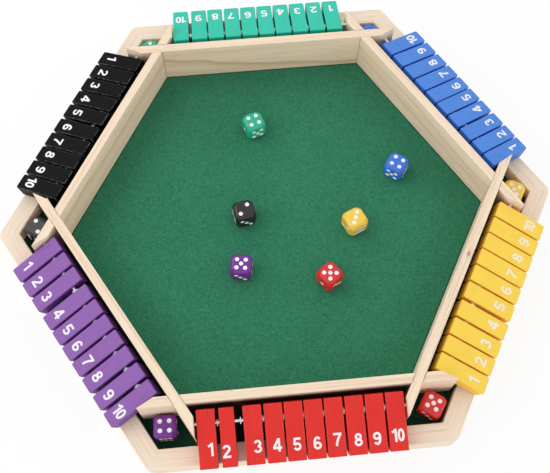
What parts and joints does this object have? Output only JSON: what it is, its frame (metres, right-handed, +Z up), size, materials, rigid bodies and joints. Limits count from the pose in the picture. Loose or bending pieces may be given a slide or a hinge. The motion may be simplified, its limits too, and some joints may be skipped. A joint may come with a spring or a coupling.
{
  "type": "shut the box game",
  "caption": "Hexagonal wooden dice game with a felt tray, crossing divider boards, and rows of painted number tiles that flip on wires.",
  "frame": {"origin": "middle of the underside, on the table", "axes": "+Z up; -Y towards the red player's side; X along that side"},
  "size_m": [0.4186, 0.3728, 0.0395],
  "materials": {
    "pine": "smooth waxed pine",
    "plywood": "bare plywood",
    "felt": "short green felt",
    "steel": "bright wire",
    "dice_plastic": "gloss plastic, one paint colour for each player",
    "red_paint": "red painted wood, satin",
    "yellow_paint": "yellow painted wood, satin",
    "blue_paint": "blue painted wood, satin",
    "green_paint": "green painted wood, satin",
    "black_paint": "black painted wood, satin",
    "purple_paint": "purple painted wood, satin"
  },
  "bodies": {
    "root": {"base_panel": "plywood", "playing_felt": "felt", "rail_frame": "pine", "divider_boards": "pine", "tile_wires": "steel"},
    "dice": {"dice": "dice_plastic"},
    "red_tile_1": {"red_tile_1": "red_paint"},
    "red_tile_2": {"red_tile_2": "red_paint"},
    "red_tile_3": {"red_tile_3": "red_paint"},
    "red_tile_4": {"red_tile_4": "red_paint"},
    "red_tile_5": {"red_tile_5": "red_paint"},
    "red_tile_6": {"red_tile_6": "red_paint"},
    "red_tile_7": {"red_tile_7": "red_paint"},
    "red_tile_8": {"red_tile_8": "red_paint"},
    "red_tiles_9_10": {"red_tiles_9_10": "red_paint"},
    "yellow_tile_1": {"yellow_tile_1": "yellow_paint"},
    "yellow_tile_2": {"yellow_tile_2": "yellow_paint"},
    "yellow_tile_3": {"yellow_tile_3": "yellow_paint"},
    "yellow_tile_4": {"yellow_tile_4": "yellow_paint"},
    "yellow_tile_5": {"yellow_tile_5": "yellow_paint"},
    "yellow_tile_6": {"yellow_tile_6": "yellow_paint"},
    "yellow_tile_7": {"yellow_tile_7": "yellow_paint"},
    "yellow_tile_8": {"yellow_tile_8": "yellow_paint"},
    "yellow_tiles_9_10": {"yellow_tiles_9_10": "yellow_paint"},
    "blue_tile_1": {"blue_tile_1": "blue_paint"},
    "blue_tile_2": {"blue_tile_2": "blue_paint"},
    "blue_tile_3": {"blue_tile_3": "blue_paint"},
    "blue_tile_4": {"blue_tile_4": "blue_paint"},
    "blue_tile_5": {"blue_tile_5": "blue_paint"},
    "blue_tile_6": {"blue_tile_6": "blue_paint"},
    "blue_tile_7": {"blue_tile_7": "blue_paint"},
    "blue_tile_8": {"blue_tile_8": "blue_paint"},
    "blue_tiles_9_10": {"blue_tiles_9_10": "blue_paint"},
    "green_tile_1": {"green_tile_1": "green_paint"},
    "green_tile_2": {"green_tile_2": "green_paint"},
    "green_tile_3": {"green_tile_3": "green_paint"},
    "green_tile_4": {"green_tile_4": "green_paint"},
    "green_tile_5": {"green_tile_5": "green_paint"},
    "green_tile_6": {"green_tile_6": "green_paint"},
    "green_tile_7": {"green_tile_7": "green_paint"},
    "green_tile_8": {"green_tile_8": "green_paint"},
    "green_tiles_9_10": {"green_tiles_9_10": "green_paint"},
    "black_tile_1": {"black_tile_1": "black_paint"},
    "black_tile_2": {"black_tile_2": "black_paint"},
    "black_tile_3": {"black_tile_3": "black_paint"},
    "black_tile_4": {"black_tile_4": "black_paint"},
    "black_tile_5": {"black_tile_5": "black_paint"},
    "black_tile_6": {"black_tile_6": "black_paint"},
    "black_tile_7": {"black_tile_7": "black_paint"},
    "black_tile_8": {"black_tile_8": "black_paint"},
    "black_tiles_9_10": {"black_tiles_9_10": "black_paint"},
    "purple_tile_1": {"purple_tile_1": "purple_paint"},
    "purple_tile_2": {"purple_tile_2": "purple_paint"},
    "purple_tile_3": {"purple_tile_3": "purple_paint"},
    "purple_tile_4": {"purple_tile_4": "purple_paint"},
    "purple_tile_5": {"purple_tile_5": "purple_paint"},
    "purple_tile_6": {"purple_tile_6": "purple_paint"},
    "purple_tile_7": {"purple_tile_7": "purple_paint"},
    "purple_tile_8": {"purple_tile_8": "purple_paint"},
    "purple_tiles_9_10": {"purple_tiles_9_10": "purple_paint"}
  },
  "joints": [
    {"name": "dice_lift", "type": "slide", "parent": "root", "child": "dice", "axis": [0, 0, 1], "range_m": [0, 0.05]},
    {"name": "red_tile_1_flip", "type": "hinge", "parent": "root", "child": "red_tile_1", "pos_m": [-0.06319, -0.15741, 0.0314], "axis": [-1, 0, 0], "range_deg": [0, 148]},
    {"name": "red_tile_2_flip", "type": "hinge", "parent": "root", "child": "red_tile_2", "pos_m": [-0.04929, -0.15741, 0.0314], "axis": [-1, 0, 0], "range_deg": [0, 148]},
    {"name": "red_tile_3_flip", "type": "hinge", "parent": "root", "child": "red_tile_3", "pos_m": [-0.03219, -0.15741, 0.0314], "axis": [-1, 0, 0], "range_deg": [0, 148]},
    {"name": "red_tile_4_flip", "type": "hinge", "parent": "root", "child": "red_tile_4", "pos_m": [-0.0182, -0.15741, 0.0314], "axis": [-1, 0, 0], "range_deg": [0, 148]},
    {"name": "red_tile_5_flip", "type": "hinge", "parent": "root", "child": "red_tile_5", "pos_m": [-0.0047, -0.15741, 0.0314], "axis": [-1, 0, 0], "range_deg": [0, 148]},
    {"name": "red_tile_6_flip", "type": "hinge", "parent": "root", "child": "red_tile_6", "pos_m": [0.0086, -0.15741, 0.0314], "axis": [-1, 0, 0], "range_deg": [0, 148]},
    {"name": "red_tile_7_flip", "type": "hinge", "parent": "root", "child": "red_tile_7", "pos_m": [0.0221, -0.15741, 0.0314], "axis": [-1, 0, 0], "range_deg": [0, 148]},
    {"name": "red_tile_8_flip", "type": "hinge", "parent": "root", "child": "red_tile_8", "pos_m": [0.03599, -0.15741, 0.0314], "axis": [-1, 0, 0], "range_deg": [0, 148]},
    {"name": "red_tiles_9_10_flip", "type": "hinge", "parent": "root", "child": "red_tiles_9_10", "pos_m": [0.04969, -0.15741, 0.0314], "axis": [-1, 0, 0], "range_deg": [0, 148]},
    {"name": "yellow_tile_1_flip", "type": "hinge", "parent": "root", "child": "yellow_tile_1", "pos_m": [0.10418, -0.13438, 0.0314], "axis": [-0.5, -0.866, 0], "range_deg": [0, 148]},
    {"name": "yellow_tile_2_flip", "type": "hinge", "parent": "root", "child": "yellow_tile_2", "pos_m": [0.11108, -0.12243, 0.0314], "axis": [-0.5, -0.866, 0], "range_deg": [0, 148]},
    {"name": "yellow_tile_3_flip", "type": "hinge", "parent": "root", "child": "yellow_tile_3", "pos_m": [0.11798, -0.11048, 0.0314], "axis": [-0.5, -0.866, 0], "range_deg": [0, 148]},
    {"name": "yellow_tile_4_flip", "type": "hinge", "parent": "root", "child": "yellow_tile_4", "pos_m": [0.12507, -0.09819, 0.0314], "axis": [-0.5, -0.866, 0], "range_deg": [0, 148]},
    {"name": "yellow_tile_5_flip", "type": "hinge", "parent": "root", "child": "yellow_tile_5", "pos_m": [0.13262, -0.08511, 0.0314], "axis": [-0.5, -0.866, 0], "range_deg": [0, 148]},
    {"name": "yellow_tile_6_flip", "type": "hinge", "parent": "root", "child": "yellow_tile_6", "pos_m": [0.13962, -0.07299, 0.0314], "axis": [-0.5, -0.866, 0], "range_deg": [0, 148]},
    {"name": "yellow_tile_7_flip", "type": "hinge", "parent": "root", "child": "yellow_tile_7", "pos_m": [0.14647, -0.06113, 0.0314], "axis": [-0.5, -0.866, 0], "range_deg": [0, 148]},
    {"name": "yellow_tile_8_flip", "type": "hinge", "parent": "root", "child": "yellow_tile_8", "pos_m": [0.15327, -0.04935, 0.0314], "axis": [-0.5, -0.866, 0], "range_deg": [0, 148]},
    {"name": "yellow_tiles_9_10_flip", "type": "hinge", "parent": "root", "child": "yellow_tiles_9_10", "pos_m": [0.16012, -0.03749, 0.0314], "axis": [-0.5, -0.866, 0], "range_deg": [0, 148]},
    {"name": "blue_tile_1_flip", "type": "hinge", "parent": "root", "child": "blue_tile_1", "pos_m": [0.16847, 0.02303, 0.0314], "axis": [0.5, -0.866, 0], "range_deg": [0, 148]},
    {"name": "blue_tile_2_flip", "type": "hinge", "parent": "root", "child": "blue_tile_2", "pos_m": [0.16177, 0.03463, 0.0314], "axis": [0.5, -0.866, 0], "range_deg": [0, 148]},
    {"name": "blue_tile_3_flip", "type": "hinge", "parent": "root", "child": "blue_tile_3", "pos_m": [0.15492, 0.0465, 0.0314], "axis": [0.5, -0.866, 0], "range_deg": [0, 148]},
    {"name": "blue_tile_4_flip", "type": "hinge", "parent": "root", "child": "blue_tile_4", "pos_m": [0.14782, 0.05879, 0.0314], "axis": [0.5, -0.866, 0], "range_deg": [0, 148]},
    {"name": "blue_tile_5_flip", "type": "hinge", "parent": "root", "child": "blue_tile_5", "pos_m": [0.14097, 0.07065, 0.0314], "axis": [0.5, -0.866, 0], "range_deg": [0, 148]},
    {"name": "blue_tile_6_flip", "type": "hinge", "parent": "root", "child": "blue_tile_6", "pos_m": [0.13432, 0.08217, 0.0314], "axis": [0.5, -0.866, 0], "range_deg": [0, 148]},
    {"name": "blue_tile_7_flip", "type": "hinge", "parent": "root", "child": "blue_tile_7", "pos_m": [0.12752, 0.09395, 0.0314], "axis": [0.5, -0.866, 0], "range_deg": [0, 148]},
    {"name": "blue_tile_8_flip", "type": "hinge", "parent": "root", "child": "blue_tile_8", "pos_m": [0.12068, 0.10581, 0.0314], "axis": [0.5, -0.866, 0], "range_deg": [0, 148]},
    {"name": "blue_tiles_9_10_flip", "type": "hinge", "parent": "root", "child": "blue_tiles_9_10", "pos_m": [0.11378, 0.11776, 0.0314], "axis": [0.5, -0.866, 0], "range_deg": [0, 148]},
    {"name": "green_tile_1_flip", "type": "hinge", "parent": "root", "child": "green_tile_1", "pos_m": [0.06059, 0.15741, 0.0314], "axis": [1, 0, 0], "range_deg": [0, 148]},
    {"name": "green_tile_2_flip", "type": "hinge", "parent": "root", "child": "green_tile_2", "pos_m": [0.04659, 0.15741, 0.0314], "axis": [1, 0, 0], "range_deg": [0, 148]},
    {"name": "green_tile_3_flip", "type": "hinge", "parent": "root", "child": "green_tile_3", "pos_m": [0.03279, 0.15741, 0.0314], "axis": [1, 0, 0], "range_deg": [0, 148]},
    {"name": "green_tile_4_flip", "type": "hinge", "parent": "root", "child": "green_tile_4", "pos_m": [0.0191, 0.15741, 0.0314], "axis": [1, 0, 0], "range_deg": [0, 148]},
    {"name": "green_tile_5_flip", "type": "hinge", "parent": "root", "child": "green_tile_5", "pos_m": [0.0054, 0.15741, 0.0314], "axis": [1, 0, 0], "range_deg": [0, 148]},
    {"name": "green_tile_6_flip", "type": "hinge", "parent": "root", "child": "green_tile_6", "pos_m": [-0.0082, 0.15741, 0.0314], "axis": [1, 0, 0], "range_deg": [0, 148]},
    {"name": "green_tile_7_flip", "type": "hinge", "parent": "root", "child": "green_tile_7", "pos_m": [-0.0219, 0.15741, 0.0314], "axis": [1, 0, 0], "range_deg": [0, 148]},
    {"name": "green_tile_8_flip", "type": "hinge", "parent": "root", "child": "green_tile_8", "pos_m": [-0.03569, 0.15741, 0.0314], "axis": [1, 0, 0], "range_deg": [0, 148]},
    {"name": "green_tiles_9_10_flip", "type": "hinge", "parent": "root", "child": "green_tiles_9_10", "pos_m": [-0.04909, 0.15741, 0.0314], "axis": [1, 0, 0], "range_deg": [0, 148]},
    {"name": "black_tile_1_flip", "type": "hinge", "parent": "root", "child": "black_tile_1", "pos_m": [-0.10543, 0.13222, 0.0314], "axis": [0.5, 0.866, 0], "range_deg": [0, 148]},
    {"name": "black_tile_2_flip", "type": "hinge", "parent": "root", "child": "black_tile_2", "pos_m": [-0.11228, 0.12035, 0.0314], "axis": [0.5, 0.866, 0], "range_deg": [0, 148]},
    {"name": "black_tile_3_flip", "type": "hinge", "parent": "root", "child": "black_tile_3", "pos_m": [-0.11918, 0.10841, 0.0314], "axis": [0.5, 0.866, 0], "range_deg": [0, 148]},
    {"name": "black_tile_4_flip", "type": "hinge", "parent": "root", "child": "black_tile_4", "pos_m": [-0.12593, 0.09672, 0.0314], "axis": [0.5, 0.866, 0], "range_deg": [0, 148]},
    {"name": "black_tile_5_flip", "type": "hinge", "parent": "root", "child": "black_tile_5", "pos_m": [-0.13287, 0.08468, 0.0314], "axis": [0.5, 0.866, 0], "range_deg": [0, 148]},
    {"name": "black_tile_6_flip", "type": "hinge", "parent": "root", "child": "black_tile_6", "pos_m": [-0.14007, 0.07221, 0.0314], "axis": [0.5, 0.866, 0], "range_deg": [0, 148]},
    {"name": "black_tile_7_flip", "type": "hinge", "parent": "root", "child": "black_tile_7", "pos_m": [-0.14697, 0.06026, 0.0314], "axis": [0.5, 0.866, 0], "range_deg": [0, 148]},
    {"name": "black_tile_8_flip", "type": "hinge", "parent": "root", "child": "black_tile_8", "pos_m": [-0.15367, 0.04866, 0.0314], "axis": [0.5, 0.866, 0], "range_deg": [0, 148]},
    {"name": "black_tiles_9_10_flip", "type": "hinge", "parent": "root", "child": "black_tiles_9_10", "pos_m": [-0.16047, 0.03689, 0.0314], "axis": [0.5, 0.866, 0], "range_deg": [0, 148]},
    {"name": "purple_tile_1_flip", "type": "hinge", "parent": "root", "child": "purple_tile_1", "pos_m": [-0.16802, -0.02381, 0.0314], "axis": [-0.5, 0.866, 0], "range_deg": [0, 148]},
    {"name": "purple_tile_2_flip", "type": "hinge", "parent": "root", "child": "purple_tile_2", "pos_m": [-0.16102, -0.03593, 0.0314], "axis": [-0.5, 0.866, 0], "range_deg": [0, 148]},
    {"name": "purple_tile_3_flip", "type": "hinge", "parent": "root", "child": "purple_tile_3", "pos_m": [-0.15407, -0.04797, 0.0314], "axis": [-0.5, 0.866, 0], "range_deg": [0, 148]},
    {"name": "purple_tile_4_flip", "type": "hinge", "parent": "root", "child": "purple_tile_4", "pos_m": [-0.14602, -0.06191, 0.0314], "axis": [-0.5, 0.866, 0], "range_deg": [0, 148]},
    {"name": "purple_tile_5_flip", "type": "hinge", "parent": "root", "child": "purple_tile_5", "pos_m": [-0.13922, -0.07368, 0.0314], "axis": [-0.5, 0.866, 0], "range_deg": [0, 148]},
    {"name": "purple_tile_6_flip", "type": "hinge", "parent": "root", "child": "purple_tile_6", "pos_m": [-0.13237, -0.08555, 0.0314], "axis": [-0.5, 0.866, 0], "range_deg": [0, 148]},
    {"name": "purple_tile_7_flip", "type": "hinge", "parent": "root", "child": "purple_tile_7", "pos_m": [-0.12552, -0.09741, 0.0314], "axis": [-0.5, 0.866, 0], "range_deg": [0, 148]},
    {"name": "purple_tile_8_flip", "type": "hinge", "parent": "root", "child": "purple_tile_8", "pos_m": [-0.11863, -0.10936, 0.0314], "axis": [-0.5, 0.866, 0], "range_deg": [0, 148]},
    {"name": "purple_tiles_9_10_flip", "type": "hinge", "parent": "root", "child": "purple_tiles_9_10", "pos_m": [-0.11143, -0.12183, 0.0314], "axis": [-0.5, 0.866, 0], "range_deg": [0, 148]}
  ]
}
